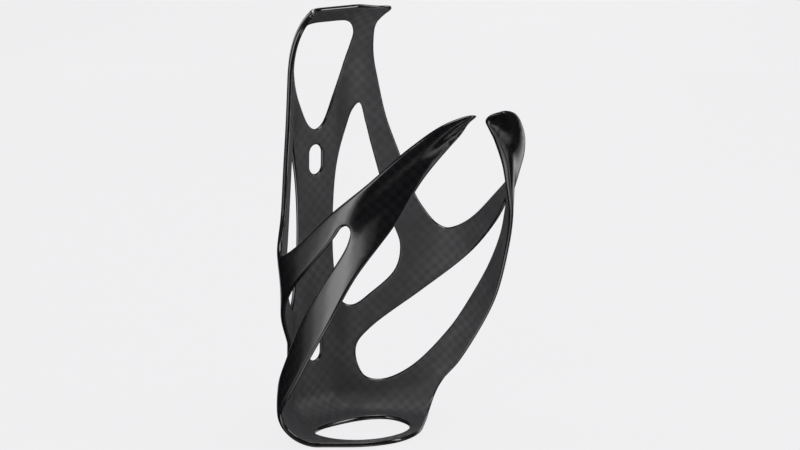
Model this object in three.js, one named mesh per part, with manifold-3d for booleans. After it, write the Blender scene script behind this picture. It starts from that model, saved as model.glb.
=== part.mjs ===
// A water bottle cage for a bicycle: one moulded carbon shell, built as the sections of its laminate.
//
// Millimetres, +Z up, +X to the right as the open side is faced, +Y towards the bicycle frame.
// The origin is on the flat back of the spine, midway between the two mounting slots.
//
// Every wall section is drawn flat, cut out of a fine sheet, and then wrapped round the bottle.
// On the flat sheet s is the distance round the wall from the middle of the spine, and z is the height.
import * as THREE from "three";
import { mergeVertices } from "three/addons/utils/BufferGeometryUtils.js";
import Module from "manifold-3d";

const wasm = await Module();
wasm.setup();

// ---- driving dimensions ----
const WALL = 1.8; // thickness of the laminate
const GAP = 0.35; // clearance between neighbouring sections
const CELLS_ROUND = 60; // columns of the grid on the sheet that is wrapped, an even number
const SPINE_FLAT = 7.5; // half width of the flat part of the spine
const AXIS_TO_SPINE = 39.6; // from the bottle's axis to the inner face of the spine
const BOTTLE_RADIUS = 37.6; // inner radius of the arms at rest
const AXIS_Y = -(AXIS_TO_SPINE + WALL); // the bottle's axis

const SLOT_SPACING = 64; // standard spacing of the two frame bolts
const SLOT_LENGTH = 10;
const SLOT_WIDTH = 5.6; // clears an M5 bolt

const FINGER_REACH = 115; // s of the finger tips
const GRIP_START = 62; // s where the arm starts to close on the bottle
const GRIP_END = 87; // s where it is fully closed
const GRIP = 1.5; // how far the lower half of a closed finger stands inside the plan curve
const LIP = 3.2; // how far the upper edge of the finger flares out from there
const TIP_START = 95; // from here to the tip both of these grow
const TIP_GROWTH = 0.3; // by this share at the tip
// Middle line of the closed finger: its height at s, its slope and how that falls off, and its half height.
const FINGER_BAND = { s: 75, height: 14.6, slope: 1.37, curve: 0.0098, half: 15.5, taper: 0.27 };
const SHEET_MARGIN = 4; // the sheet is wider than the fingers reach by this
const CELL = (2 * (FINGER_REACH + SHEET_MARGIN)) / CELLS_ROUND; // side of one cell of the grid
const NOTCH = { s: 45.5, z: 9 }; // the saddle between the side rail and the arm
const NOTCH_FLARE = 1.6; // how far the edge of the saddle stands out
const NOTCH_SPREAD = 10; // how quickly that fades

const TUCK = 3.8; // how far the lower edge near the tip tucks in towards the bottle
const TUCK_AT = 104; // s where it tucks in most
const TUCK_SPREAD = 10; // how quickly that fades
const BULGE = { s: 46, z: -42, out: 1.6, spread: 10.5 }; // the base corners swell out here

const TAB_LEAN_START = 62.5; // height where the top tab starts to lean over the bottle
const TAB_LEAN_RADIUS = 25;
const TAB_TOP = 86.8; // top edge on the flat sheet
const TAB_HALF = 30; // the sheet leans only nearer the middle than this

const FLOOR_Z = -55; // upper face of the floor
const FLOOR_BEND = 6.5; // inner radius between the back wall and the floor
const CORNER_BEND = 11; // inner radius between the side walls and the floor
const CORNER_START = 24; // s where the radius starts to grow
const FLOOR_CORNER = 43.8; // s where the front edge of the wall reaches the floor
const BEND_END = FLOOR_Z + FLOOR_BEND - (FLOOR_BEND * Math.PI) / 2; // end of the bend on the flat sheet
const RIM_BACK = 13; // the rim section lies in front of this, measured from the bottle's axis

const HINGE_S = 45.3; // s of the line about which an arm flexes

// ---- outlines on the flat sheet, right half, as [s, z] ----
const OUTER_EDGE = [
  [0, -64], [45.2, -64], [44.2, -60], [42.9, -53.5], [43.6, -47.4], [50.8, -37.6], // base corner
  [58.5, -26.4], [68.3, -11.2], [77.8, 6], [90.4, 23.6], [99, 37], [107.7, 46.6], // under the arm
  [112.2, 51], [114.8, 54.4], [115.2, 56.6], [112.6, 57.6], // finger tip
  [104.6, 55.5], [94.6, 48.6], [80.6, 35.2], [66.8, 23.3], [56, 13.8], [49, 9.2], // over the arm
  [45.5, 8.2], [42.3, 9.6], // notch
  [38.1, 14.9], [35.4, 19.6], [29.7, 34.3], [25.4, 46], [22.2, 60], [20, 71], // front of the rail
  [18.6, 78], [19.4, 82.4], [20.1, 85.2], [18.7, 86.7], [14.5, TAB_TOP], [0, TAB_TOP], // top tab
];
const WINDOW = [
  [0, 42.2], [3, 43.7], [7.2, 51.6], [10.2, 60.8], [12.2, 70], [12, 74.8], [9, 78.8], [0, 79.7],
];
const SIDE_OPENING = [
  [16.2, 50.3], [18.3, 44], [20.2, 37], [28, 9.7], [30.5, 2], [29, -6.3], [20.7, -14.7],
  [14, -19.1], [11, -17.8], [8.6, -7], [7.8, 8], [8.9, 27.7], [12, 42], [14, 48],
];
const ARM_OPENING = [
  [76, 21], [75, 16.6], [73, 12.6], [66.8, 3], [56.9, -12], [46.8, -27], [34.7, -40.3], [25, -44.8],
  [19, -43.6], [16, -38], [16.2, -32.5], [21, -26.8], [37.7, -13.8], [52.1, -1.6], [66.5, 13.1],
  [71, 18.6], [73.2, 21.6], [75, 22.4],
];

// ---- outlines of the floor, right half, as [x, distance in front (-) or behind (+) the bottle's axis] ----
const FLOOR_FRONT = [[19.6, 6.2], [14.2, 2.2], [8, -0.9], [0, -2.3]];
const FLOOR_HOLE = [
  [0, 26.4], [8, 25.8], [13, 24], [16.2, 21.2], [17.2, 17],
  [15.9, 10.8], [11.8, 5.6], [6, 2.6], [0, 1.8],
];

// ---- the sections of the wall, as the part of the flat sheet that each one keeps ----
const HALF_GAP = GAP / 2;
const LEG_TOP = 77.5;
const LEG_FOOT = 52;
const BRANCH_SPLIT = 16.2; // s between the spine's upper branch and the side rail
const RIB_SPLIT = [[12.4, -15], [19, -35]]; // line between the spine and the upper rib
const CUP_TOP = -45.6;
const CUP_HALF = 20;
const RAIL_FOOT = [[26, -6], [45.3, 13]]; // line between the side rail and the upper rib
const FINGER_ROOT = [[62, 29], [86, 8]]; // line across the root of the finger, through the opening's tip
const TIP_ROOT = [[96, 58], [108, 34]]; // line between the finger and its tip
const OPENING_MIDDLE = [[HINGE_S, -18], [73.6, 18.8]]; // runs through the arm opening

const CENTRE_SECTIONS = {
  top_tab: [[-30, LEG_TOP], [30, LEG_TOP], [30, 95], [-30, 95]],
  spine_plate: bothHalves([[0, CUP_TOP], [CUP_HALF, CUP_TOP], [CUP_HALF, RIB_SPLIT[1][1]], RIB_SPLIT[1],
    RIB_SPLIT[0], [BRANCH_SPLIT, 30], [BRANCH_SPLIT, LEG_FOOT], [0, LEG_FOOT]]),
  cup_wall: [[-CUP_HALF, BEND_END], [CUP_HALF, BEND_END], [CUP_HALF, CUP_TOP], [-CUP_HALF, CUP_TOP]],
};
const SIDE_SECTIONS = {
  leg: [[0, LEG_FOOT], [30, LEG_FOOT], [30, LEG_TOP], [0, LEG_TOP]],
  side_rail: [[BRANCH_SPLIT, LEG_FOOT], [BRANCH_SPLIT, 0], ...RAIL_FOOT, [45.3, LEG_FOOT]],
  upper_rib_root: [RIB_SPLIT[0], RIB_SPLIT[1], [HINGE_S, -18], [HINGE_S, 13], RAIL_FOOT[0]],
  base_corner: [[CUP_HALF, BEND_END], [HINGE_S, BEND_END], [HINGE_S, -18], [CUP_HALF, -36]],
  upper_rib: [OPENING_MIDDLE[0], OPENING_MIDDLE[1], FINGER_ROOT[0], [HINGE_S, 29]],
  lower_rib: [[HINGE_S, BEND_END], [86, BEND_END], FINGER_ROOT[1], OPENING_MIDDLE[1], OPENING_MIDDLE[0]],
  finger: [FINGER_ROOT[0], FINGER_ROOT[1], TIP_ROOT[1], TIP_ROOT[0]],
  finger_tip: [TIP_ROOT[0], TIP_ROOT[1], [120, 34], [120, 62]],
};

// ---- the bottle wall seen from above ----
// Right half of the inner face: the flat spine, a bend, the side, and a quarter circle round the front.
const PLAN = new THREE.CurvePath();
const spineMiddle = new THREE.Vector2(0, AXIS_TO_SPINE);
const spineEdge = new THREE.Vector2(SPINE_FLAT, AXIS_TO_SPINE);
PLAN.add(new THREE.LineCurve(spineMiddle, spineEdge));
PLAN.add(bezier([SPINE_FLAT, AXIS_TO_SPINE], [12.3, AXIS_TO_SPINE], [13.2, 35.1], [17, 32]));
PLAN.add(bezier([17, 32], [30, 21.3], [BOTTLE_RADIUS, 14], [BOTTLE_RADIUS, 0]));
PLAN.add(new THREE.EllipseCurve(0, 0, BOTTLE_RADIUS, BOTTLE_RADIUS, 0, -Math.PI / 2, true));
const PLAN_LENGTH = PLAN.getLength();

function bezier(...points) {
  return new THREE.CubicBezierCurve(...points.map(([x, y]) => new THREE.Vector2(x, y)));
}

// The inner face at s, and the direction that points out of the bottle there.
function planPoint(s) {
  const side = Math.sign(s) || 1;
  const u = Math.min(Math.abs(s) / PLAN_LENGTH, 1);
  const point = PLAN.getPointAt(u);
  const along = PLAN.getTangentAt(u);
  return { x: side * point.x, y: AXIS_Y + point.y, outX: -side * along.y, outY: along.x };
}

// A point moved straight towards the bottle's axis.
function towardsAxis(x, y, distance) {
  const keep = 1 - distance / Math.hypot(x, y - AXIS_Y);
  return { x: x * keep, y: AXIS_Y + (y - AXIS_Y) * keep };
}

// The finger's middle line and half height, which change along it.
function fingerBand(reach) {
  const past = reach - FINGER_BAND.s;
  const { height, slope, curve, half, taper } = FINGER_BAND;
  return { middle: height + slope * past - curve * past * past, halfHeight: half - taper * past };
}

// How far the wall stands out of the plan curve at a place on the flat sheet.
function standOut(s, z) {
  const { smoothstep } = THREE.MathUtils;
  const reach = Math.abs(s);
  const { middle, halfHeight } = fingerBand(reach);
  const lip = LIP * smoothstep((z - middle) / halfHeight, 0, 1);
  const growth = 1 + TIP_GROWTH * smoothstep(reach, TIP_START, FINGER_REACH);
  const closing = smoothstep(reach, GRIP_START, GRIP_END);
  const tuck = TUCK * fade((reach - TUCK_AT) / TUCK_SPREAD) * smoothstep((middle - z) / halfHeight, 0, 1);
  const notch = fade(Math.hypot(reach - NOTCH.s, z - NOTCH.z) / NOTCH_SPREAD);
  const bulge = fade(Math.hypot(reach - BULGE.s, z - BULGE.z) / BULGE.spread);
  return closing * growth * (lip - GRIP) - tuck + NOTCH_FLARE * notch + BULGE.out * bulge;
}

function fade(distance) {
  return Math.exp(-distance * distance);
}

// Inner radius of the bend between the wall and the floor.
function bendRadius(s) {
  const corner = THREE.MathUtils.smoothstep(Math.abs(s), CORNER_START, FLOOR_CORNER);
  return FLOOR_BEND + (CORNER_BEND - FLOOR_BEND) * corner;
}

// The inner face at a place on the flat sheet, before the bends at its foot and its top.
function wallPoint(s, z) {
  const { x, y, outX, outY } = planPoint(s);
  const out = standOut(s, z);
  return { x: x + outX * out, y: y + outY * out, outX, outY };
}

// Wraps a point of the flat sheet: t is 0 on the inner face and WALL on the outer one.
function wrap(s, z, t) {
  const { x, y, outX, outY } = wallPoint(s, z);
  const bend = bendRadius(s);
  const bendTop = FLOOR_Z + bend;
  if (z < bendTop) {
    const angle = (Math.min((bendTop - z) / (bendTop - BEND_END), 1) * Math.PI) / 2;
    const inner = towardsAxis(x, y, bend * (1 - Math.cos(angle)));
    const outwards = t * Math.cos(angle);
    return [inner.x + outX * outwards, inner.y + outY * outwards, bendTop - (bend + t) * Math.sin(angle)];
  }
  if (z > TAB_LEAN_START && Math.abs(s) < TAB_HALF) {
    const angle = (z - TAB_LEAN_START) / TAB_LEAN_RADIUS;
    const radius = TAB_LEAN_RADIUS + t * outY;
    const leaning = y - TAB_LEAN_RADIUS + radius * Math.cos(angle);
    return [x + outX * t, leaning, TAB_LEAN_START + radius * Math.sin(angle)];
  }
  return [x + outX * t, y + outY * t, z];
}

// ---- solids ----
function solid(geometry) {
  geometry.deleteAttribute("normal");
  geometry.deleteAttribute("uv");
  const merged = mergeVertices(geometry, 1e-4);
  return new wasm.Manifold(
    new wasm.Mesh({
      numProp: 3,
      vertProperties: merged.attributes.position.array,
      triVerts: Uint32Array.from(merged.index.array),
    }),
  );
}

function smoothLoop(points) {
  const corners = points.map(([u, v]) => new THREE.Vector3(u, v, 0));
  const curve = new THREE.CatmullRomCurve3(corners, true, "centripetal");
  return curve.getPoints(points.length * 3).slice(0, -1).map((p) => new THREE.Vector2(p.x, p.y));
}

function mirror(points) {
  return points.map(([u, v]) => [-u, v]).reverse();
}

// Both halves of a loop whose right half starts and ends on the centre line.
function bothHalves(points) {
  return [...points, ...mirror(points.slice(1, -1))];
}

function prism(points, from, to) {
  const shape = new THREE.Shape(points.map((p) => (p.isVector2 ? p : new THREE.Vector2(...p))));
  const geometry = new THREE.ExtrudeGeometry(shape, { depth: to - from, bevelEnabled: false });
  return solid(geometry.translate(0, 0, from));
}

// A section's outline pulled in by half the gap on every side.
function inset(points) {
  const area = THREE.ShapeUtils.area(points.map(([u, v]) => new THREE.Vector2(u, v)));
  const turn = Math.sign(area);
  return points.map((point, i) => {
    const before = points[(i + points.length - 1) % points.length];
    const after = points[(i + 1) % points.length];
    const a = new THREE.Vector2(point[0] - before[0], point[1] - before[1]).normalize();
    const b = new THREE.Vector2(after[0] - point[0], after[1] - point[1]).normalize();
    const shift = HALF_GAP / (1 + a.dot(b));
    return [point[0] - turn * (a.y + b.y) * shift, point[1] + turn * (a.x + b.x) * shift];
  });
}

// The flat sheet is sagged a little while it is cut, or its grid would melt into one flat face.
const SAG = 2e-3;
const sag = (s, z) => SAG * (s * s + z * z);
const BELOW = -1;
const ABOVE = 60;

function flatSheet() {
  const width = CELL * CELLS_ROUND;
  const height = TAB_TOP - BEND_END + 2 * CELL;
  const grid = new THREE.BoxGeometry(width, height, WALL, CELLS_ROUND, Math.round(height / CELL), 1);
  grid.translate(0, (TAB_TOP + BEND_END) / 2, WALL / 2);
  const p = grid.attributes.position;
  for (let i = 0; i < p.count; i++) p.setZ(i, p.getZ(i) + sag(p.getX(i), p.getY(i)));
  return solid(grid);
}

function slotOutline(z) {
  const half = (SLOT_LENGTH - SLOT_WIDTH) / 2;
  const shape = new THREE.Path();
  shape.absarc(0, z + half, SLOT_WIDTH / 2, 0, Math.PI);
  shape.absarc(0, z - half, SLOT_WIDTH / 2, Math.PI, 2 * Math.PI);
  return shape.getPoints(8).slice(0, -1);
}

function cutSheet() {
  let sheet = flatSheet().intersect(prism(smoothLoop(bothHalves(OUTER_EDGE)), BELOW, ABOVE));
  const holes = [
    smoothLoop(bothHalves(WINDOW)),
    smoothLoop(SIDE_OPENING), smoothLoop(mirror(SIDE_OPENING)),
    smoothLoop(ARM_OPENING), smoothLoop(mirror(ARM_OPENING)),
    slotOutline(SLOT_SPACING / 2), slotOutline(-SLOT_SPACING / 2),
  ];
  for (const hole of holes) sheet = sheet.subtract(prism(hole, BELOW, ABOVE));
  return sheet;
}

// A flat section wrapped into place. Wrapping turns the sheet inside out, so its triangles are turned back.
function wrapped(section) {
  const { vertProperties, triVerts } = section.getMesh();
  const position = new Float32Array(vertProperties.length);
  for (let i = 0; i < vertProperties.length; i += 3) {
    const [s, z, level] = vertProperties.slice(i, i + 3);
    const t = level - sag(s, z) < WALL / 2 ? 0 : WALL;
    position.set(wrap(s, z, t), i);
  }
  const index = [];
  for (let i = 0; i < triVerts.length; i += 3) index.push(triVerts[i], triVerts[i + 2], triVerts[i + 1]);
  return indexed(position, index);
}

function indexed(position, index) {
  const geometry = new THREE.BufferGeometry();
  geometry.setAttribute("position", new THREE.BufferAttribute(position, 3));
  geometry.setIndex(index);
  return geometry;
}

// ---- the floor ----
// Its back edge keeps to the cells of the wall above, so that the gap between them is even.
function floorOutline() {
  const foot = (cells) => {
    const wall = wallPoint(cells * CELL, BEND_END);
    const edge = towardsAxis(wall.x, wall.y, bendRadius(cells * CELL) + GAP);
    return new THREE.Vector2(edge.x, edge.y - AXIS_Y);
  };
  const cells = FLOOR_CORNER / CELL;
  const whole = Math.floor(cells);
  const back = Array.from({ length: whole + 1 }, (_, k) => foot(k));
  back.push(foot(whole).lerp(foot(whole + 1), cells - whole));
  const front = new THREE.SplineCurve([back.at(-1), ...FLOOR_FRONT.map(([x, y]) => new THREE.Vector2(x, y))]);
  const right = [...back, ...front.getPoints(12).slice(1)].map((p) => [p.x, p.y]);
  return bothHalves(right).map(([x, y]) => new THREE.Vector2(x, y));
}

function floorSections() {
  const place = (points) => points.map((p) => new THREE.Vector2(p.x, p.y + AXIS_Y));
  const under = FLOOR_Z - 2 * WALL;
  const over = FLOOR_Z + WALL;
  const hole = prism(place(smoothLoop(bothHalves(FLOOR_HOLE))), under, over);
  const plate = prism(place(floorOutline()), FLOOR_Z - WALL, FLOOR_Z).subtract(hole);
  const split = AXIS_Y + RIM_BACK;
  const strip = (from, to) => prism([[-50, from], [50, from], [50, to], [-50, to]], under, over);
  return {
    floor_shelf: plate.intersect(strip(split + HALF_GAP, 0)),
    floor_rim: plate.intersect(strip(AXIS_Y - 20, split - HALF_GAP)),
  };
}

// ---- assembly ----
const cage = new THREE.Group();
cage.name = "water_bottle_cage";

function addSection(name, geometry) {
  const material = new THREE.MeshStandardMaterial({ color: 0x17181a, roughness: 0.35, metalness: 0 });
  material.name = name;
  const mesh = new THREE.Mesh(geometry, material);
  mesh.name = name;
  cage.add(mesh);
}

const sheet = cutSheet();
const section = (points) => wrapped(sheet.intersect(prism(inset(points), BELOW, ABOVE)));
for (const [name, points] of Object.entries(CENTRE_SECTIONS)) addSection(name, section(points));
for (const [name, points] of Object.entries(SIDE_SECTIONS)) {
  addSection(`right_${name}`, section(points));
  addSection(`left_${name}`, section(mirror(points)));
}
for (const [name, plate] of Object.entries(floorSections())) {
  const { vertProperties, triVerts } = plate.getMesh();
  addSection(name, indexed(vertProperties, Array.from(triVerts)));
}

export default cage;
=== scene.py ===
"""A water bottle cage moulded in carbon: the fine visual model that stands for the CAD sections.

The laminate is meshed flat, in millimetres, as in the CAD source: s is the distance round the wall from the
middle of the spine and z is the height. The flat mesh is then wrapped round the bottle and given its
thickness. Only the right half is drawn. The left half is its mirror image.
"""
import math

import bpy
import numpy as np
from mathutils import Matrix, Vector
from mathutils.geometry import delaunay_2d_cdt
from mathutils.kdtree import KDTree


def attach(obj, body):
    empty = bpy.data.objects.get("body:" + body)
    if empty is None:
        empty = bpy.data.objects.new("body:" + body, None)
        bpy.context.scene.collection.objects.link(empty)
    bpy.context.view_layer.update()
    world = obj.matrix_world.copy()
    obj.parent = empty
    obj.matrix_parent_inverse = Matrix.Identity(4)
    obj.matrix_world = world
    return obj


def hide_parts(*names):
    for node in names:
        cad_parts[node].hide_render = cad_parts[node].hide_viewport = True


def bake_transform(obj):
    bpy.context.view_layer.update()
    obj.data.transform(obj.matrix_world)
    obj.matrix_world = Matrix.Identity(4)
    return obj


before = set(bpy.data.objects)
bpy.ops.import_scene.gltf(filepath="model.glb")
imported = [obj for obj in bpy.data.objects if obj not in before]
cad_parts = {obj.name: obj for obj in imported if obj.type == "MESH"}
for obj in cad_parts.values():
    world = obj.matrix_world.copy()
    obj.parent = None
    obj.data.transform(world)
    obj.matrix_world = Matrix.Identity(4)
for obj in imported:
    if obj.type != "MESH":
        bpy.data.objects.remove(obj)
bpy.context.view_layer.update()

MM = 0.001

# ---- dimensions of the CAD source ----
WALL = 1.8  # thickness of the laminate
SPINE_FLAT = 7.5  # half the width of the flat back
AXIS_TO_SPINE = 39.6  # from the bottle's axis to the inner face of the spine
BOTTLE_RADIUS = 37.6  # inner radius of the arms
AXIS_Y = -(AXIS_TO_SPINE + WALL)  # the bottle's axis
SIDE_JOIN = (17, 32)  # where the curve beside the spine meets the one round the bottle, from the axis
SLOT_SPACING = 64  # between the middles of the two slots
SLOT_LENGTH = 10
SLOT_WIDTH = 5.6

# The fingers, from s = FINGER_START to s = FINGER_REACH. HEIGHT, SLOPE and CURVE place their middle line.
FINGER_START, FINGER_REACH = 75, 115
FINGER_HEIGHT, FINGER_SLOPE, FINGER_CURVE = 14.6, 1.37, 0.0098
FINGER_HALF, FINGER_TAPER = 15.5, 0.27  # half its height at the start, and the loss for each mm of s
GRIP_START, GRIP_END, GRIP = 62, 87, 1.5  # between these two s the arms close in on the bottle by GRIP
LIP = 3.2  # how far the top of a finger flares outwards
TIP_START, TIP_GROWTH = 95, 0.3  # the share by which grip and lip grow towards the end of the tip
TUCK, TUCK_AT, TUCK_SPREAD = 3.8, 104, 10  # how far the lower half of a tip is tucked in

# Two places where the wall stands out, as s and z.
NOTCH, NOTCH_FLARE, NOTCH_SPREAD = (45.5, 9), 1.6, 10
BULGE, BULGE_OUT, BULGE_SPREAD = (46, -42), 1.6, 10.5

TAB_LEAN_START, TAB_LEAN_RADIUS = 62.5, 25  # the top leans over the bottle from this height
TAB_TOP, TAB_HALF = 86.8, 30  # end of the tab on the flat sheet, and an s that is well past its side
FLOOR_Z = -55  # the floor's upper face
FLOOR_BEND = 6.5  # inner radius of the bend between the wall and the floor
CORNER_BEND, CORNER_START, FLOOR_CORNER = 11, 24, 43.8  # it grows to CORNER_BEND between these two s
BEND_END = FLOOR_Z + FLOOR_BEND - FLOOR_BEND * math.pi / 2  # foot of the bend on the flat sheet
RIM_BACK = 13  # how far the floor's rim reaches behind the bottle's axis
HINGE_S = 45.3  # where an arm flexes
CUP_TOP, CUP_HALF = -45.6, 20  # top and half width of the cup wall

# At its foot, OUTER_EDGE runs a little further round than in the CAD source, and FLOOR_FRONT starts a little
# further back, so that the wall's edge passes into the floor's front edge without a nick.
OUTER_EDGE = [
    (0, -64), (46.6, -64), (45.1, -60), (42.9, -53.5), (43.6, -47.4), (50.8, -37.6),
    (58.5, -26.4), (68.3, -11.2), (77.8, 6), (90.4, 23.6), (99, 37), (107.7, 46.6),
    (112.2, 51), (114.8, 54.4), (115.2, 56.6), (112.6, 57.6),
    (104.6, 55.5), (94.6, 48.6), (80.6, 35.2), (66.8, 23.3), (56, 13.8), (49, 9.2),
    (45.5, 8.2), (42.3, 9.6),
    (38.1, 14.9), (35.4, 19.6), (29.7, 34.3), (25.4, 46), (22.2, 60), (20, 71),
    (18.6, 78), (19.4, 82.4), (20.1, 85.2), (18.7, 86.7), (14.5, TAB_TOP), (0, TAB_TOP),
]
WINDOW = [
    (0, 42.2), (3, 43.7), (7.2, 51.6), (10.2, 60.8), (12.2, 70), (12, 74.8), (9, 78.8), (0, 79.7),
]
SIDE_OPENING = [
    (16.2, 50.3), (18.3, 44), (20.2, 37), (28, 9.7), (30.5, 2), (29, -6.3), (20.7, -14.7),
    (14, -19.1), (11, -17.8), (8.6, -7), (7.8, 8), (8.9, 27.7), (12, 42), (14, 48),
]
ARM_OPENING = [
    (76, 21), (75, 16.6), (73, 12.6), (66.8, 3), (56.9, -12), (46.8, -27), (34.7, -40.3), (25, -44.8),
    (19, -43.6), (16, -38), (16.2, -32.5), (21, -26.8), (37.7, -13.8), (52.1, -1.6), (66.5, 13.1),
    (71, 18.6), (73.2, 21.6), (75, 22.4),
]
# On the floor, as x and the distance behind the bottle's axis.
FLOOR_FRONT = [(19.8, 6.7), (14.2, 2.2), (8, -0.9), (0, -2.3)]
FLOOR_HOLE = [
    (0, 26.4), (8, 25.8), (13, 24), (16.2, 21.2), (17.2, 17), (15.9, 10.8), (11.8, 5.6), (6, 2.6), (0, 1.8),
]

# ---- how finely it is meshed ----
EDGE_STEP = 0.8  # along a free edge
GRID_STEP = 1.5  # between points away from the edges
GRID_CLEARANCE = 0.62 * GRID_STEP  # from those points to the edges
RIM_DEPTH = 0.95  # a free edge is rounded over this width
RIM_ANGLES = [0, 24, 48, 70, 90]  # places round the rounded edge, in degrees
RIM_OFFSETS = [RIM_DEPTH * (1 - math.cos(math.radians(a))) for a in RIM_ANGLES]
LAST = len(RIM_ANGLES) - 1  # the place where the sheet is flat again

# ---- where the sections meet, as lines that start and end in an opening, outside, or on one another ----
LEG_SPLIT = (16.2, 52)
CUP_SPLIT = (CUP_HALF, CUP_TOP)
ARM_SPLIT = (73.4, 19.025)  # in the arm opening, beside its tip
WALL_CUTS = [
    ((5, 77.5), (25, 77.5)),
    ((4, 52), LEG_SPLIT), (LEG_SPLIT, (30, 52)), (LEG_SPLIT, (16.2, 45)),
    ((26, -6), (45.3, 13)),
    ((12.4, -15), (19, -35)),
    ((HINGE_S, 15), (HINGE_S, -20)), ((HINGE_S, -20), (HINGE_S, -50)),
    ((0, CUP_TOP), CUP_SPLIT), (CUP_SPLIT, (CUP_HALF, -40)), (CUP_SPLIT, (CUP_HALF, BEND_END)),
    ((62, 29), ARM_SPLIT), (ARM_SPLIT, (86, 8)),
    ((96, 58), (108, 34)),
]

# A point in each section: s and z on the wall, x and the distance behind the axis on the floor.
CENTRE_SEEDS = {"top_tab": (10, 84), "spine_plate": (4, 0), "cup_wall": (8, -52)}
SIDE_SEEDS = {
    "leg": (16, 65), "side_rail": (30, 20), "upper_rib_root": (35, -5), "base_corner": (32, -50),
    "upper_rib": (60, 14), "lower_rib": (58, -18), "finger": (88, 32), "finger_tip": (110, 53),
}
FLOOR_SEEDS = {"floor_shelf": (0.5, 30), "floor_rim": (3, -0.2)}


# ---- the wall seen from above ----
def plan_table():
    """Points, directions and distances along the right half of the inner face, from the bottle's axis."""
    t = np.linspace(0, 1, 801)[:, None]

    def bezier(*corners):
        a, b, c, d = (np.array(p, float) for p in corners)
        return a * (1 - t) ** 3 + 3 * b * t * (1 - t) ** 2 + 3 * c * t * t * (1 - t) + d * t ** 3

    quarter = t * math.pi / 2
    stretches = [
        np.array([[0, AXIS_TO_SPINE]]) + t * [SPINE_FLAT, 0],
        bezier((SPINE_FLAT, AXIS_TO_SPINE), (12.3, AXIS_TO_SPINE), (13.2, 35.1), SIDE_JOIN),
        bezier(SIDE_JOIN, (30, 21.3), (BOTTLE_RADIUS, 14), (BOTTLE_RADIUS, 0)),
        BOTTLE_RADIUS * np.hstack([np.cos(quarter), -np.sin(quarter)]),
    ]
    points = np.vstack([stretches[0]] + [stretch[1:] for stretch in stretches[1:]])
    steps = np.diff(points, axis=0)
    lengths = np.hypot(*steps.T)
    distance = np.concatenate([[0], np.cumsum(lengths)])
    along = steps / lengths[:, None]
    along = np.vstack([along[:1], (along[1:] + along[:-1]) / 2, along[-1:]])
    return distance, points, along


PLAN_DISTANCE, PLAN_POINTS, PLAN_ALONG = plan_table()


def plan(s):
    """The inner face at s and the direction out of the bottle there."""
    x, y = (np.interp(s, PLAN_DISTANCE, column) for column in PLAN_POINTS.T)
    along_x, along_y = (np.interp(s, PLAN_DISTANCE, column) for column in PLAN_ALONG.T)
    size = np.hypot(along_x, along_y)
    return x, y, -along_y / size, along_x / size


def smoothstep(x, low, high):
    t = np.clip((x - low) / (high - low), 0, 1)
    return t * t * (3 - 2 * t)


def finger_band(s):
    """The height of a finger's middle line at s, and half the finger's own height."""
    past = s - FINGER_START
    middle = FINGER_HEIGHT + FINGER_SLOPE * past - FINGER_CURVE * past * past
    return middle, FINGER_HALF - FINGER_TAPER * past


def mound(s, z, place, spread):
    """1 at a place on the wall, fading to 0 all round it."""
    return np.exp(-((s - place[0]) ** 2 + (z - place[1]) ** 2) / spread ** 2)


def stand_out(s, z):
    """How far the wall stands out of the plan curve."""
    middle, half_height = finger_band(s)
    lip = LIP * smoothstep((z - middle) / half_height, 0, 1)
    growth = 1 + TIP_GROWTH * smoothstep(s, TIP_START, FINGER_REACH)
    closing = smoothstep(s, GRIP_START, GRIP_END)
    tuck = TUCK * np.exp(-((s - TUCK_AT) / TUCK_SPREAD) ** 2)
    tuck = tuck * smoothstep((middle - z) / half_height, 0, 1)
    notch = NOTCH_FLARE * mound(s, z, NOTCH, NOTCH_SPREAD)
    bulge = BULGE_OUT * mound(s, z, BULGE, BULGE_SPREAD)
    return closing * growth * (lip - GRIP) - tuck + notch + bulge


def bend_radius(s):
    """Inner radius of the bend between the wall and the floor."""
    corner = smoothstep(np.asarray(s, float), CORNER_START, FLOOR_CORNER)
    return FLOOR_BEND + (CORNER_BEND - FLOOR_BEND) * corner


# ---- relief that is too fine for the CAD ----
RELIEF_START, RELIEF_FULL = 97, 109  # it grows between these two s
TIP_ROLL = 0.55  # how far the edge of a finger tip rolls outwards
TIP_ROLL_WIDTH = 3.2
TIP_BOWL = 0.9  # how far the middle of a tip is pressed in towards the bottle


def relief(s, z, edge):
    """How far fine features stand out. edge is the distance to the nearest free edge."""
    tip = smoothstep(s, RELIEF_START, RELIEF_FULL)
    roll = np.clip(1 - edge / TIP_ROLL_WIDTH, 0, 1) ** 2
    middle, half_height = finger_band(s)
    across = np.clip((z - middle) / half_height, -1, 1)
    return tip * (TIP_ROLL * roll - TIP_BOWL * (1 - across ** 2) ** 2)


def wall_point(s, z):
    """The inner face at s, z on the flat sheet before its foot and top are bent, and the direction out."""
    x, y, out_x, out_y = plan(s)
    out = stand_out(s, z)
    return x + out_x * out, y + out_y * out, out_x, out_y


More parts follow.
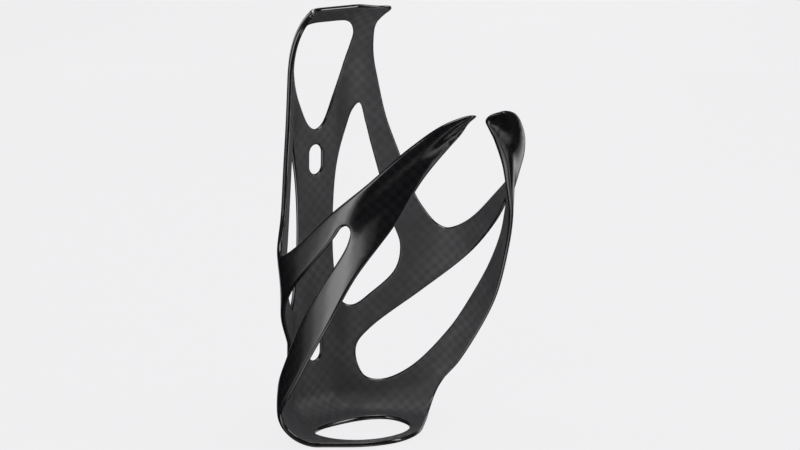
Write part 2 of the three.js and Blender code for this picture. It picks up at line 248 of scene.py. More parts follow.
def wrap(s, z, t, edge):
    """The wall's point at s, z on the flat sheet. t is 0 on its inner face and WALL on its outer one."""
    x, y, out_x, out_y = wall_point(s, z)
    out = relief(s, z, edge) + t
    side = np.stack([x + out_x * out, y + out_y * out, z], 1)

    # At its foot the wall bends in towards the bottle's axis, to lie on the floor.
    radius = bend_radius(s)
    bend_top = FLOOR_Z + radius
    angle = np.clip((bend_top - z) / (bend_top - BEND_END), 0, 1) * math.pi / 2
    keep = 1 - radius * (1 - np.cos(angle)) / np.hypot(x, y)
    outwards = t * np.cos(angle)
    bend = np.stack([
        x * keep + out_x * outwards, y * keep + out_y * outwards, bend_top - (radius + t) * np.sin(angle)], 1)

    # At its top it leans over the bottle.
    angle = np.maximum(z - TAB_LEAN_START, 0) / TAB_LEAN_RADIUS
    radius = TAB_LEAN_RADIUS + t * out_y
    lean = np.stack([
        x + out_x * t, y - TAB_LEAN_RADIUS + radius * np.cos(angle),
        TAB_LEAN_START + radius * np.sin(angle)], 1)

    point = np.where((z < bend_top)[:, None], bend, side)
    point = np.where(((z > TAB_LEAN_START) & (s < TAB_HALF))[:, None], lean, point)
    return point + [0, AXIS_Y, 0]


def floor_place(s):
    """Where the foot of the bend at s is on the floor, from the bottle's axis."""
    x, y, _, _ = wall_point(np.asarray(s, float), BEND_END)
    keep = 1 - bend_radius(s) / np.hypot(x, y)
    return np.stack([x * keep, y * keep], -1)


# ---- outlines ----
def smooth_path(points, closed=False, before=None, after=None, step=0.1):
    """A centripetal Catmull-Rom curve through points, as a close row of points. before and after are the
    points that it would come from and go on to."""
    p = [np.array(point, float) for point in points]
    if closed:
        p = [p[-1], *p, p[0], p[1]]
    else:
        p = [2 * p[0] - p[1] if before is None else np.array(before, float), *p,
             2 * p[-1] - p[-2] if after is None else np.array(after, float)]
    rows = []
    for a, b, c, d in zip(p, p[1:], p[2:], p[3:]):
        ab, bc, cd = (math.sqrt(math.dist(*pair)) for pair in ((a, b), (b, c), (c, d)))
        start = ((b - a) / ab - (c - a) / (ab + bc) + (c - b) / bc) * bc
        end = ((c - b) / bc - (d - b) / (bc + cd) + (d - c) / cd) * bc
        count = max(2, round(math.dist(b, c) / step))
        t = np.arange(count)[:, None] / count
        rows.append(b + start * t + (3 * (c - b) - 2 * start - end) * t ** 2
                    + (2 * (b - c) + start + end) * t ** 3)
    rows.append(p[-2][None])
    return np.vstack(rows)


def half_loop(points):
    """The right half of a symmetrical loop: it starts and ends on the middle line."""
    def across(point):
        return (-point[0], point[1])
    path = smooth_path(points, before=across(points[1]), after=across(points[-2]))
    path[[0, -1], 0] = 0
    return path


def slot_path(z):
    """The right half of the slot whose middle is at z, from its foot up."""
    radius, straight = SLOT_WIDTH / 2, (SLOT_LENGTH - SLOT_WIDTH) / 2
    turn = np.linspace(-math.pi / 2, 0, 40)
    foot = np.stack([radius * np.cos(turn), z - straight + radius * np.sin(turn)], 1)
    head = np.stack([foot[::-1, 0], 2 * z - foot[::-1, 1]], 1)
    return np.vstack([foot, head])


def wall_edge():
    """The outer edge from the foot of the bend, round the arm and up to the middle of the top tab."""
    path = half_loop(OUTER_EDGE)
    first = np.flatnonzero(path[:, 1] < BEND_END)[-1]
    below, above = path[first], path[first + 1]
    share = (BEND_END - below[1]) / (above[1] - below[1])
    corner = below + share * (above - below)
    corner[1] = BEND_END
    return np.vstack([corner, path[first + 1:]])


def crossings(path, cut):
    """Distances along a path where it crosses the cut."""
    p, q = (np.array(end, float) for end in cut)
    d = q - p
    side = (path[:, 0] - p[0]) * d[1] - (path[:, 1] - p[1]) * d[0]
    travelled = np.concatenate([[0], np.cumsum(np.hypot(*np.diff(path, axis=0).T))])
    found = []
    for i in np.flatnonzero((side[:-1] > 0) != (side[1:] > 0)):
        share = side[i] / (side[i] - side[i + 1])
        at = path[i] + share * (path[i + 1] - path[i])
        if 0 <= (at - p) @ d <= d @ d:
            found.append(travelled[i] + share * (travelled[i + 1] - travelled[i]))
    return found


# ---- the flat mesh ----
class Flat:
    """Points on a flat sheet, each with its place round the rounded edge, and the faces between them."""

    def __init__(self):
        self.points, self.level, self.faces = [], [], []
        self.paths, self.chains, self.walls = [], [], set()

    def add(self, point, level=LAST):
        self.points.append((float(point[0]), float(point[1])))
        self.level.append(level)
        return len(self.points) - 1

    def edge(self, path, cuts, closed=False, first=None, last=None, last_column=None):
        """Lays the rounded rim along a free edge whose material is on the left, and remembers it. first and
        last turn the end columns to run along that direction. last_column is one that is there already."""
        travelled = np.concatenate([[0], np.cumsum(np.hypot(*np.diff(path, axis=0).T))])
        marks = sorted(d for cut in cuts for d in crossings(path, cut))
        total = travelled[-1]
        stops = marks + [marks[0] + total] if closed else [0, *marks, total]
        places, marked = [], []
        for a, b in zip(stops, stops[1:]):
            marked.append(len(places))
            count = max(1, round((b - a) / EDGE_STEP))
            places += [a + (b - a) * k / count for k in range(count)]
        if not closed:
            places.append(total)
        places = np.array(places)

        def at(distance):
            if closed:
                distance = distance % total
            return np.stack([np.interp(distance, travelled, column) for column in path.T], 1)

        nearby = 0.15
        ahead = at(np.minimum(places + nearby, np.inf if closed else total))
        behind = at(np.maximum(places - nearby, -np.inf if closed else 0))
        along = ahead - behind
        inward = np.stack([-along[:, 1], along[:, 0]], 1) / np.hypot(*along.T)[:, None]
        for index, direction in ((0, first), (-1, last)):
            if direction is not None:
                direction = np.array(direction, float)
                inward[index] = direction / (direction @ inward[index])
        columns = []
        for i, (point, normal) in enumerate(zip(at(places), inward)):
            if i == len(places) - 1 and last_column:
                columns.append(last_column)
                continue
            columns.append([self.add(point + normal * offset, k) for k, offset in enumerate(RIM_OFFSETS)])
        pairs = list(zip(columns, columns[1:] + columns[:1] if closed else columns[1:]))
        for a, b in pairs:
            for k in range(LAST):
                self.faces.append((a[k], b[k], b[k + 1], a[k + 1]))
            self.chains.append((a[LAST], b[LAST]))
        for i in marked if closed else marked[1:]:
            for k in range(LAST):
                self.walls.add(frozenset(columns[i][k:k + 2]))
        self.paths.append((path, [columns[i] for i in (marked if closed else marked[1:])]))
        return columns

    def line(self, a, b, marks=()):
        """A straight row of points between two that are there, through points that are there too."""
        p, q = (np.array(self.points[i]) for i in (a, b))
        stops = [a, *sorted(marks, key=lambda i: math.dist(p, self.points[i])), b]
        row = [a]
        for i, j in zip(stops, stops[1:]):
            u, v = np.array(self.points[i]), np.array(self.points[j])
            count = max(1, round(math.dist(u, v) / GRID_STEP))
            row += [self.add(u + (v - u) * k / count) for k in range(1, count)] + [j]
        self.chains += list(zip(row, row[1:]))
        return row

    def cut(self, cut, ends):
        """Draws a cut between sections. An end that isn't given is where it meets a free edge."""
        found = list(ends)
        p, q = (np.array(end, float) for end in cut)
        d = (q - p) / math.dist(p, q)
        for _, columns in self.paths:
            for column in columns:
                at = np.array(self.points[column[0]])
                along, off = (at - p) @ d, d[0] * (at - p)[1] - d[1] * (at - p)[0]
                if abs(off) < 0.02 and -0.01 <= along <= math.dist(p, q) + 0.01:
                    found.append(column[LAST])
        if len(found) != 2:
            raise ValueError(f"the cut {cut} has {len(found)} ends")
        row = self.line(*found)
        self.walls |= {frozenset(pair) for pair in zip(row, row[1:])}

    def fill(self):
        """Triangles between the rims, cuts and outer lines."""
        used = sorted({i for chain in self.chains for i in chain})
        rows = np.array([self.points[i] for i in used])
        low, high = rows.min(0), rows.max(0)
        height = GRID_STEP * math.sqrt(3) / 2
        grid = [
            (x + (GRID_STEP / 2 if n % 2 else 0), y)
            for n, y in enumerate(np.arange(low[1], high[1], height))
            for x in np.arange(low[0], high[0], GRID_STEP)
        ]
        tree = KDTree(len(rows))
        for i, (x, y) in enumerate(rows):
            tree.insert((x, y, 0), i)
        tree.balance()
        grid = [g for g in grid if tree.find((*g, 0))[2] > GRID_CLEARANCE]
        outline = np.array([c for c in self.chains if frozenset(c) not in self.walls])
        ends = np.array([[self.points[i], self.points[j]] for i, j in outline])
        grid = [g for g, inside in zip(grid, self.inside(np.array(grid), ends)) if inside]
        ids = used + [self.add(g) for g in grid]
        place = {i: k for k, i in enumerate(ids)}
        result = delaunay_2d_cdt(
            [Vector(self.points[i]) for i in ids],
            [(place[i], place[j]) for i, j in self.chains], [], 0, 1e-5, True)
        origin = [ids[sources[0]] for sources in result[3]]
        triangles = np.array([[origin[i] for i in face] for face in result[2]])
        points = np.array(self.points)
        inside = self.inside(points[triangles].mean(1), ends)
        for triangle in triangles[inside]:
            a, b, c = points[triangle]
            turn = (b - a)[0] * (c - a)[1] - (b - a)[1] * (c - a)[0]
            self.faces.append(tuple(triangle) if turn > 0 else tuple(triangle[::-1]))

    @staticmethod
    def inside(points, ends):
        """Which points are inside the outline, by how often a ray to the right crosses it."""
        x, y = points[:, :1], points[:, 1:]
        (ax, ay), (bx, by) = ends[:, 0].T, ends[:, 1].T
        crosses = (ay > y) != (by > y)
        with np.errstate(divide="ignore", invalid="ignore"):
            reach = ax + (y - ay) * (bx - ax) / (by - ay)
        return (crosses & (reach > x)).sum(1) % 2 == 1

    def sections(self, seeds):
        """The faces of each section: those that can be reached from its seed without crossing a cut."""
        sides = {}
        for n, face in enumerate(self.faces):
            for i, j in zip(face, face[1:] + face[:1]):
                sides.setdefault(frozenset((i, j)), []).append(n)
        points = np.array(self.points)
        centres = np.array([points[list(face)].mean(0) for face in self.faces])
        owner = {}
        for name, seed in seeds.items():
            start = int(np.hypot(*(centres - seed).T).argmin())
            if start in owner:
                raise ValueError(f"sections {name} and {owner[start]} are joined")
            reached = [start]
            owner[start] = name
            while reached:
                face = self.faces[reached.pop()]
                for i, j in zip(face, face[1:] + face[:1]):
                    edge = frozenset((i, j))
                    if edge in self.walls:
                        continue
                    for n in sides[edge]:
                        if n not in owner:
                            owner[n] = name
                            reached.append(n)
        if len(owner) != len(self.faces):
            raise ValueError("some faces belong to no section")
        return [owner[n] for n in range(len(self.faces))]


def middle_stretches(flat, ends, marks=()):
    """Lines down the middle line, between the openings on it. Each end is a point on that line."""
    ends = sorted(ends, key=lambda i: -flat.points[i][1])
    for a, b in zip(ends[::2], ends[1::2]):
        top, foot = flat.points[a][1], flat.points[b][1]
        flat.line(a, b, [m for m in marks if foot < flat.points[m][1] < top])


UP, DOWN, IN = (0, 1), (0, -1), (-1, 0)  # directions on the flat sheet
FRONT_PULL = 4  # how far the wall's edge carries its direction on into the floor's front edge
PAINT_LEVEL = 2  # the gloss paint comes this far round a free edge, as a place in RIM_ANGLES
MATTE, GLOSS = 0, 1  # places in a piece's list of materials
LAMINATE = "laminate"  # the flat sheet's own coordinates, in millimetres
CENTRE_NAMES = {*CENTRE_SEEDS, *FLOOR_SEEDS}


def flat_wall():
    """The wall's flat mesh, and its bottom row from the middle out to the free edge."""
    flat = Flat()
    outer = flat.edge(wall_edge(), WALL_CUTS, first=IN, last=DOWN)
    ends = [outer[-1][LAST]]
    for path in (half_loop(WINDOW), slot_path(SLOT_SPACING / 2), slot_path(-SLOT_SPACING / 2)):
        columns = flat.edge(path[::-1], WALL_CUTS, first=UP, last=DOWN)
        ends += [columns[0][LAST], columns[-1][LAST]]
    for loop in (SIDE_OPENING, ARM_OPENING):
        flat.edge(smooth_path(loop, closed=True), WALL_CUTS, closed=True)
    foot = flat.add((0, BEND_END))
    cup_middle, cup_foot = (0, CUP_TOP), (CUP_HALF, BEND_END)
    known = {point: flat.add(point) for point in (cup_middle, cup_foot, CUP_SPLIT, LEG_SPLIT)}
    middle_stretches(flat, ends + [foot], [known[cup_middle]])
    bottom = flat.line(foot, outer[0][LAST], [known[cup_foot]])
    for cut in WALL_CUTS:
        flat.cut(cut, [known[end] for end in cut if end in known])
    flat.fill()
    return flat, bottom + outer[0][LAST - 1::-1]


def flat_floor(wall, bottom):
    """The floor's flat mesh, as x and the distance behind the bottle's axis. Its back edge repeats the wall's
    bottom row, which ends with the points of the rim."""
    flat = Flat()
    shared = [flat.add(floor_place(wall.points[i][0]), wall.level[i]) for i in bottom]
    edge = wall_edge()
    heading = (edge[0] - edge[2]) / math.dist(edge[0], edge[2])
    corner = floor_place(edge[0][0])
    sideways = (corner - floor_place(edge[0][0] - 0.1)) / 0.1
    direction = heading[0] * sideways + heading[1] * corner / np.hypot(*corner)
    before, after = corner - FRONT_PULL * direction, (-FLOOR_FRONT[-2][0], FLOOR_FRONT[-2][1])
    front = smooth_path([corner, *FLOOR_FRONT], before=before, after=after)
    front[-1, 0] = 0
    back = shared[:-LAST]
    split = min(back, key=lambda i: abs(flat.points[i][1] - RIM_BACK))
    cut = ((0, flat.points[split][1]), flat.points[split])
    rim = flat.edge(front[::-1], [], first=UP, last_column=shared[:-LAST - 2:-1])
    hole = flat.edge(half_loop(FLOOR_HOLE), [cut], first=UP, last=DOWN)
    middle_stretches(flat, [shared[0], hole[0][LAST], hole[-1][LAST], rim[0][LAST]])
    flat.chains += list(zip(back, back[1:]))
    flat.cut(cut, [split])
    flat.fill()
    return flat, shared


# ---- the wrapped skin ----
def edge_distance(flat):
    """How far each point of the flat mesh is from the nearest free edge."""
    edges = np.vstack([path for path, _ in flat.paths])
    tree = KDTree(len(edges))
    for i, (x, y) in enumerate(edges):
        tree.insert((x, y, 0), i)
    tree.balance()
    return np.array([tree.find((x, y, 0))[2] for x, y in flat.points])


def depth(levels):
    """How far under the sheet's face each place round the rounded edge lies."""
    return WALL / 2 * (1 - np.sin(np.radians(np.array(RIM_ANGLES)[levels])))


def build_skin():
    """The corners of the whole skin, and each section's faces as rows of (its corners, its material, their
    places on the laminate, whether it is part of the skin and not of a cut)."""
    wall, bottom = flat_wall()
    floor, shared = flat_floor(wall, bottom)
    s, z = np.array(wall.points).T
    x, behind = np.array(floor.points)[len(shared):].T
    place = dict(zip(shared, bottom)) | {len(shared) + n: len(s) + n for n in range(len(x))}
    levels = np.array(wall.level + floor.level[len(shared):])
    edge = edge_distance(wall)
    inner = depth(levels)
    sheets = []
    for t in (inner, WALL - inner):
        on_floor = np.stack([x, AXIS_Y + behind, FLOOR_Z - t[len(s):]], 1)
        sheets.append(np.vstack([wrap(s, z, t[:len(s)], edge), on_floor]))
    right = np.stack(sheets, 1)
    on_middle = right[:, 0, 0] < 1e-6
    right[on_middle, :, 0] = 0
    right = right.reshape(-1, 3)
    corners = np.vstack([right, right * [-1, 1, 1]])

    def corner(i, sheet, left):
        """The two sheets share the points of a free edge, and the two halves those of the middle line."""
        return 2 * i + (sheet if levels[i] else 0) + (len(right) if left and not on_middle[i] else 0)

    # The laminate's coordinates run on from the wall into the floor.
    flats = []
    for flat, seeds, ids, shift in (
            (wall, CENTRE_SEEDS | SIDE_SEEDS, None, (0, 0)),
            (floor, FLOOR_SEEDS, place, (0, BEND_END - floor.points[shared[0]][1]))):
        names = flat.sections(seeds)
        points = np.array(flat.points) + shift
        for name, face in zip(names, flat.faces):
            flats.append((name, [ids[i] if ids else i for i in face], points[list(face)]))
    walls = set(wall.walls) | {frozenset(place[i] for i in pair) for pair in floor.walls}
    walls |= {frozenset(pair) for pair in zip(bottom, bottom[1:])}

    sections = {}
    for name, face, at in flats:
        rim = min(levels[i] for i in face) < PAINT_LEVEL
        for left in (False, True):
            full = name if name in CENTRE_NAMES else ("left_" if left else "right_") + name
            rows = sections.setdefault(full, [])
            laminate = at * [-1, 1] if left else at
            for sheet in (0, 1):
                order = [corner(i, sheet, left) for i in face]
                turned = left != (sheet == 1)
                rows.append((order[::-1] if turned else order, GLOSS if rim or sheet else MATTE,
                             laminate[::-1] if turned else laminate, True))
            for n, (i, j) in enumerate(zip(face, face[1:] + face[:1])):
                if frozenset((i, j)) not in walls:
                    continue
                cap = [corner(j, 0, left), corner(i, 0, left), corner(i, 1, left), corner(j, 1, left)]
                cap = [c for k, c in enumerate(cap) if c != cap[k - 1]]
                if len(cap) < 3:
                    continue
                middle = np.repeat(laminate[n][None], len(cap), 0)
                rows.append((cap[::-1] if left else cap, GLOSS, middle, False))
    return corners, sections


def skin_normals(corners, sections):
    """Normals of the whole skin, so that the sections meet without a visible line."""
    normals = np.zeros_like(corners)
    for rows in sections.values():
        for order, _, _, is_skin in rows:
            if not is_skin:
                continue
            p = corners[order]
            ahead, behind = np.roll(p, -1, 0) - p, np.roll(p, 1, 0) - p
            cross = np.cross(ahead, behind)
            size = np.linalg.norm(cross, axis=1)
            lengths = np.linalg.norm(ahead, axis=1) * np.linalg.norm(behind, axis=1)
            angle = np.arctan2(size, (ahead * behind).sum(1))
            for corner, c, n, a, length in zip(order, cross, size, angle, lengths):
                if length > 1e-9 and n > 1e-12:
                    normals[corner] += c / n * a
    size = np.linalg.norm(normals, axis=1)
    return normals / np.maximum(size, 1e-9)[:, None]


def make_piece(name, rows, corners, normals, materials):
    """An object from a section's faces, smooth on the skin and flat on the cuts."""
    used = sorted({c for order, *_ in rows for c in order})
    place = {c: n for n, c in enumerate(used)}
    mesh = bpy.data.meshes.new(name)
    mesh.from_pydata((corners[used] * MM).tolist(), [], [[place[c] for c in order] for order, *_ in rows])
    for material in materials:
        mesh.materials.append(material)
    mesh.polygons.foreach_set("material_index", [row[1] for row in rows])
    layer = mesh.uv_layers.new(name=LAMINATE)
    layer.data.foreach_set("uv", np.vstack([row[2] for row in rows]).astype(np.float32).ravel())
    mesh.polygons.foreach_set("use_smooth", [True] * len(rows))
    loops = []
    for order, _, _, is_skin in rows:
        if is_skin:
            loops += [normals[c] for c in order]
        else:
            p = corners[order]
            flat = np.cross(p[1] - p[0], p[2] - p[0])
            loops += [flat / max(np.linalg.norm(flat), 1e-9)] * len(order)
    mesh.normals_split_custom_set([tuple(map(float, n)) for n in loops])
    piece = bpy.data.objects.new(name, mesh)
    bpy.context.scene.collection.objects.link(piece)
    return piece


# ---- materials ----
class Nodes:
    """A short way to write a material's node tree."""

    def __init__(self, name):
        self.material = bpy.data.materials.new(name)
        self.material.use_nodes = True
        self.tree = self.material.node_tree
        self.shader = self.tree.nodes["Principled BSDF"]

    def make(self, kind, inputs=(), **settings):
        node = self.tree.nodes.new("ShaderNode" + kind)
        for key, value in settings.items():
            setattr(node, key, value)
        for key, value in dict(inputs).items():
            self.give(node.inputs[key], value)
        return node

    def give(self, socket, value):
        if isinstance(value, bpy.types.NodeSocket):
            self.tree.links.new(value, socket)
        else:
            socket.default_value = value

    def math(self, operation, a, b=0.0, clamp=False):
        return self.make("Math", {0: a, 1: b}, operation=operation, use_clamp=clamp).outputs[0]

    def noise(self, vector, scale, detail=2.0, roughness=0.5):
        made = self.make(
            "TexNoise", {"Vector": vector, "Scale": scale, "Detail": detail, "Roughness": roughness})
        return made.outputs[0]

    def span(self, value, low, high, to_low, to_high):
        made = self.make("MapRange", {0: value, 1: low, 2: high, 3: to_low, 4: to_high})
        return made.outputs[0]

    def mix(self, share, a, b):
        made = self.make("Mix", data_type="RGBA")
        for socket, value in zip((made.inputs[0], made.inputs[6], made.inputs[7]), (share, a, b)):
            self.give(socket, value)
        return made.outputs[2]

    def laminate(self):
        return self.make("UVMap", uv_map=LAMINATE).outputs[0]

    def weave(self, vector, tow):
        """A plain weave: near 1 where a tow that runs up is on top, near 0 where one that runs round is."""
        parts = self.make("SeparateXYZ", {0: vector}).outputs
        waves = [self.math("SINE", self.math("MULTIPLY", parts[k], math.pi / tow)) for k in (0, 1)]
        product = self.math("MULTIPLY", *waves)
        return self.span(product, -0.7, 0.7, 0.0, 1.0)

    def bump(self, height, strength, distance, normal=None):
        made = self.make("Bump", {"Height": height, "Strength": strength, "Distance": distance})
        if normal:
            self.give(made.inputs["Normal"], normal)
        return made.outputs[0]


TOW = 2.05  # width of one tow of the cloth, in millimetres
DRIFT = 1.6  # how far the tows wander from straight lines, in millimetres
# The light end of MATTE_SHADES also carries the painted sheen of the weave's checks.
MATTE_SHADES = (0.022, 0.0215, 0.023, 1), (0.052, 0.051, 0.054, 1)  # from the darkest cloth to the lightest
GLOSS_SHADES = (0.003, 0.003, 0.0035, 1), (0.009, 0.009, 0.010, 1)


def waver(nodes, at):
    """The laminate's coordinates, drifting a little as cloth does when it is laid into a mould."""
    drift = nodes.make("TexNoise", {"Vector": at, "Scale": 0.11, "Detail": 1.0}).outputs[1]
    shift = nodes.make("VectorMath", {0: drift, 1: (0.5, 0.5, 0.5)}, operation="SUBTRACT").outputs[0]
    scaled = nodes.make("VectorMath", {0: shift, "Scale": DRIFT}, operation="SCALE").outputs[0]
    return nodes.make("VectorMath", {0: at, 1: scaled}, operation="ADD").outputs[0]


def stretched(nodes, at, x, y):
    """Coordinates scaled along each axis, for fibres that run along one of them."""
    return nodes.make("VectorMath", {0: at, 1: (x, y, 1)}, operation="MULTIPLY").outputs[0]


def matte_weave():
    """The bottle side: bare carbon cloth under a thin matte resin."""
    nodes = Nodes("matte_carbon_weave")
    at = nodes.laminate()
    woven = waver(nodes, at)
    over = nodes.weave(woven, TOW)
    up_fibres = nodes.noise(stretched(nodes, woven, 9.0, 0.5), 1.0, 2.0)
    round_fibres = nodes.noise(stretched(nodes, woven, 0.5, 9.0), 1.0, 2.0)
    fibres = nodes.math("ADD", nodes.math("MULTIPLY", up_fibres, over),
                        nodes.math("MULTIPLY", round_fibres, nodes.math("SUBTRACT", 1.0, over)))
    cloud = nodes.noise(at, 0.16, 3.0, 0.55)
    speckle = nodes.noise(at, 2.6, 2.0)
    # The weave's painted sheen shows clearly in some places and hardly at all in others.
    clarity = nodes.span(nodes.noise(at, 0.07, 2.0), 0.38, 0.62, 0.08, 0.42)
    # The weave's checks are painted sheen, lighter where a tow that runs up is on top.
    light = nodes.math("ADD", nodes.math("MULTIPLY", over, clarity), nodes.math("MULTIPLY", fibres, 0.3))
    light = nodes.math("ADD", light, nodes.math("MULTIPLY", cloud, 0.5))
    light = nodes.span(nodes.math("ADD", light, nodes.math("MULTIPLY", speckle, 0.2)), 0.3, 1.1, 0.0, 1.0)
    # Base colour: the fibres, cloud and speckle are the cloth's own tone, and the checks are painted sheen.
    nodes.give(nodes.shader.inputs["Base Color"], nodes.mix(light, *MATTE_SHADES))
    rough = nodes.math("ADD", nodes.math("MULTIPLY", over, -0.1), nodes.math("MULTIPLY", cloud, 0.16))
    nodes.give(nodes.shader.inputs["Roughness"], nodes.math("ADD", rough, 0.5))
    # Each tow dips where it goes under the next one.
    height = nodes.math("ADD", nodes.math("MULTIPLY", nodes.math("PINGPONG", over, 0.5), -1.0),
                        nodes.math("MULTIPLY", fibres, 0.35))
    grain = nodes.bump(nodes.noise(at, 5.5, 2.0), 0.1, 0.02 * MM)
    nodes.give(nodes.shader.inputs["Normal"], nodes.bump(height, 0.35, 0.05 * MM, grain))
    nodes.shader.inputs["Specular IOR Level"].default_value = 0.45
    return nodes.material


def gloss_coat():
    """The outside and every edge: black under a thick clear coat, with the cloth just showing through."""
    nodes = Nodes("gloss_clear_coat")
    at = nodes.laminate()
    over = nodes.weave(waver(nodes, at), TOW)
    cloud = nodes.noise(at, 0.2, 2.0)
    shade = nodes.math("ADD", nodes.math("MULTIPLY", over, 0.5), nodes.math("MULTIPLY", cloud, 0.5))
    nodes.give(nodes.shader.inputs["Base Color"], nodes.mix(shade, *GLOSS_SHADES))
    nodes.give(nodes.shader.inputs["Roughness"], nodes.span(nodes.noise(at, 0.5, 3.0), 0.3, 0.7, 0.13, 0.21))
    peel = nodes.bump(nodes.noise(at, 0.45, 1.0), 0.12, 0.12 * MM)
    nodes.give(nodes.shader.inputs["Normal"], peel)
    nodes.give(nodes.shader.inputs["Coat Normal"], peel)
    nodes.shader.inputs["Coat Weight"].default_value = 0.6
    nodes.shader.inputs["Coat Roughness"].default_value = 0.05
    return nodes.material


# ---- pieces ----
BLENDED = ("side_rail", "upper_rib_root", "base_corner", "upper_rib", "lower_rib")
ON_ARM = ("finger", "finger_tip")

corners, sections = build_skin()
normals = skin_normals(corners, sections)
finishes = [matte_weave(), gloss_coat()]
for name, rows in sections.items():
    piece = make_piece(name + "_skin", rows, corners, normals, finishes)
    side, _, kind = name.partition("_") if name not in CENTRE_NAMES else ("", "", name)
    if kind in BLENDED:
        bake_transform(piece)
    else:
        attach(piece, side + "_arm" if kind in ON_ARM else "shell")
    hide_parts(name)

# ---- camera ----
TARGET = Vector((0, -0.0418, 0.0161))  # where the camera looks
DISTANCE = 0.890  # from there to the camera
AZIMUTH, ELEVATION, ROLL = (math.radians(angle) for angle in (42.9, 11.31, 0.66))  # from the front, leftwards
LENS = 123.7  # focal length for a sensor 36 mm wide
SHIFT = (0.00275, -0.0006)

data = bpy.data.cameras.new("camera")
data.lens, data.sensor_width = LENS, 36
data.shift_x, data.shift_y = SHIFT
data.clip_start, data.clip_end = 0.01, 50
camera = bpy.data.objects.new("camera", data)
bpy.context.scene.collection.objects.link(camera)
ground = math.cos(ELEVATION)
back = Vector((-math.sin(AZIMUTH) * ground, -math.cos(AZIMUTH) * ground, math.sin(ELEVATION)))
right = Vector((math.cos(AZIMUTH), -math.sin(AZIMUTH), 0))
up = back.cross(right)
right, up = right * math.cos(ROLL) + up * math.sin(ROLL), up * math.cos(ROLL) - right * math.sin(ROLL)
turn = Matrix((right, up, back)).transposed().to_4x4()
camera.matrix_world = Matrix.Translation(TARGET + DISTANCE * back) @ turn
bpy.context.scene.camera = camera

# ---- floor and light ----
FLOOR_RADIUS, FLOOR_FLAT = 6.0, 2.5  # the floor starts to rise at FLOOR_FLAT from its middle
FLOOR_RISE = 0.9  # how fast its slope grows from there on
FLOOR_RINGS, FLOOR_SPOKES = 24, 96
FLOOR_GLOW = 0.83  # the floor is lit mostly from within, so that the backdrop is even and the shadow faint
FLOOR_SHADES = (0.028, 0.028, 0.028, 1), (0.032, 0.032, 0.032, 1)
UNDER = (FLOOR_Z - WALL) * MM - 0.0002  # just below the cage


def make_floor():
    """A wide pale disc that rises slowly towards its edge, so that no horizon line shows."""
    turns = [2 * math.pi * k / FLOOR_SPOKES for k in range(FLOOR_SPOKES)]
    radii = [FLOOR_RADIUS * (k / FLOOR_RINGS) ** 1.5 for k in range(1, FLOOR_RINGS + 1)]
    verts = [(0, 0, UNDER)]
    for r in radii:
        height = UNDER + FLOOR_RISE * max(0, r - FLOOR_FLAT) ** 2 / 2
        verts += [(r * math.cos(a), r * math.sin(a), height) for a in turns]
    faces = [(0, 1 + k, 1 + (k + 1) % FLOOR_SPOKES) for k in range(FLOOR_SPOKES)]
    for ring in range(FLOOR_RINGS - 1):
        a, b = 1 + FLOOR_SPOKES * ring, 1 + FLOOR_SPOKES * (ring + 1)
        faces += [(a + k, b + k, b + (k + 1) % FLOOR_SPOKES, a + (k + 1) % FLOOR_SPOKES)
                  for k in range(FLOOR_SPOKES)]
    mesh = bpy.data.meshes.new("floor")
    mesh.from_pydata(verts, [], faces)
    mesh.polygons.foreach_set("use_smooth", [True] * len(faces))
    nodes = Nodes("pale_floor")
    at = nodes.make("TexCoord").outputs["Object"]
    nodes.give(nodes.shader.inputs["Base Color"], nodes.mix(nodes.noise(at, 3.0), *FLOOR_SHADES))
    nodes.shader.inputs["Emission Color"].default_value = (0.99, 0.985, 1.0, 1)
    nodes.shader.inputs["Emission Strength"].default_value = FLOOR_GLOW
    nodes.shader.inputs["Roughness"].default_value = 0.9
    nodes.shader.inputs["Specular IOR Level"].default_value = 0.1
    mesh.materials.append(nodes.material)
    floor = bpy.data.objects.new("floor", mesh)
    bpy.context.scene.collection.objects.link(floor)
    floor.visible_glossy = False


def softbox(name, place, size, power):
    """A soft rectangular light at place, facing the middle of the cage."""
    light = bpy.data.lights.new(name, "AREA")
    light.shape = "RECTANGLE"
    light.size, light.size_y = size
    light.energy = power
    lamp = bpy.data.objects.new(name, light)
    lamp.location = place
    lamp.rotation_euler = (Vector(place) - TARGET).to_track_quat("Z", "Y").to_euler()
    lamp.visible_camera = False
    bpy.context.scene.collection.objects.link(lamp)


CARD_DISTANCE = 0.9


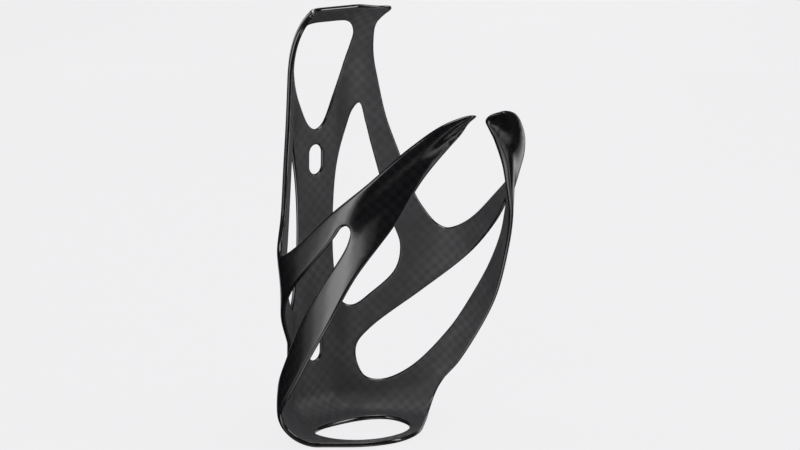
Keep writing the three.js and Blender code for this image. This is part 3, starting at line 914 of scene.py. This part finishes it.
def reflector(name, stops, low, high, strength):
    """A curved card round the cage that only reflections see. stops are (azimuth, share of the strength).
    Azimuths are in degrees from the front towards the right. It fades out at its low and high elevation."""
    columns, rows = 48, 12
    start, end = stops[0][0], stops[-1][0]
    verts, faces = [], []
    for k in range(columns + 1):
        a = math.radians(start + (end - start) * k / columns)
        for j in range(rows + 1):
            e = math.radians(low + (high - low) * j / rows)
            verts.append(TARGET + CARD_DISTANCE * Vector((
                math.sin(a) * math.cos(e), -math.cos(a) * math.cos(e), math.sin(e))))
    for k in range(columns):
        for j in range(rows):
            i = k * (rows + 1) + j
            faces.append((i, i + 1, i + rows + 2, i + rows + 1))
    mesh = bpy.data.meshes.new(name)
    mesh.from_pydata(verts, [], faces)
    layer = mesh.uv_layers.new(name="card")
    for loop in mesh.loops:
        k, j = divmod(loop.vertex_index, rows + 1)
        layer.data[loop.index].uv = (k / columns, j / rows)
    nodes = Nodes(name)
    nodes.tree.nodes.remove(nodes.shader)
    parts = nodes.make("SeparateXYZ", {0: nodes.make("UVMap", uv_map="card").outputs[0]}).outputs
    ramp = nodes.make("ValToRGB", {0: parts[0]})
    ramp.color_ramp.interpolation = "EASE"
    elements = ramp.color_ramp.elements
    while len(elements) < len(stops):
        elements.new(0.5)
    for element, (azimuth, share) in zip(elements, stops):
        element.position = (azimuth - start) / (end - start)
        element.color = (share, share, share, 1)
    fade = nodes.math("SINE", nodes.math("MULTIPLY", parts[1], math.pi))
    glow = nodes.math("MULTIPLY", nodes.math("MULTIPLY", ramp.outputs[0], fade), strength)
    emission = nodes.make("Emission", {"Strength": glow})
    output = next(node for node in nodes.tree.nodes if node.type == "OUTPUT_MATERIAL")
    nodes.give(output.inputs["Surface"], emission.outputs[0])
    nodes.material.cycles.emission_sampling = "NONE"
    mesh.materials.append(nodes.material)
    card = bpy.data.objects.new(name, mesh)
    bpy.context.scene.collection.objects.link(card)
    card.visible_camera = card.visible_diffuse = card.visible_shadow = card.visible_transmission = False


make_floor()

# The cards stand below the horizon as well, because a wall seen from above reflects what is below it.
reflector("left_card", [
    (-160, 0), (-144, 0.01), (-131, 0.1), (-112, 0.36), (-94, 0.85), (-82, 1), (-72, 0.5), (-62, 0.06),
    (-52, 0),
], -50, 35, 3.6)  # the long soft highlight on the left arm
reflector("low_front_card", [(30, 0), (50, 1), (70, 0)], -50, -14, 0.8)
reflector("right_card", [(84, 0), (104, 1), (126, 0)], -45, 25, 0.7)  # the light side of the right tip
reflector("under_card", [(-80, 0), (-30, 1), (20, 1), (60, 0)], -88, -46, 1.8)  # the front rim
reflector("back_card", [(138, 0), (150, 1), (162, 0)], -30, 15, 0.5)

world = bpy.data.worlds.new("studio")
world.use_nodes = True
world.node_tree.nodes["Background"].inputs[0].default_value = (0.94, 0.94, 0.955, 1)
world.node_tree.nodes["Background"].inputs[1].default_value = 0.62
bpy.context.scene.world = world
world.cycles_visibility.glossy = False  # so that the gloss reflects the cards and softboxes alone
bpy.context.scene.view_settings.view_transform = "Standard"

# Places and sizes in metres, powers in watts.
softbox("overhead", (0.1, -0.2, 1.3), (0.9, 0.9), 9)
softbox("left_front", (-1.2, -0.5, 0.5), (0.25, 1.0), 5)
softbox("right_front", (0.9, -1.1, 0.45), (0.3, 0.9), 5)
softbox("back_left", (-0.9, 1.0, 0.4), (0.4, 0.8), 2.5)
softbox("back_right", (1.0, 0.9, 0.4), (0.4, 0.8), 1.2)
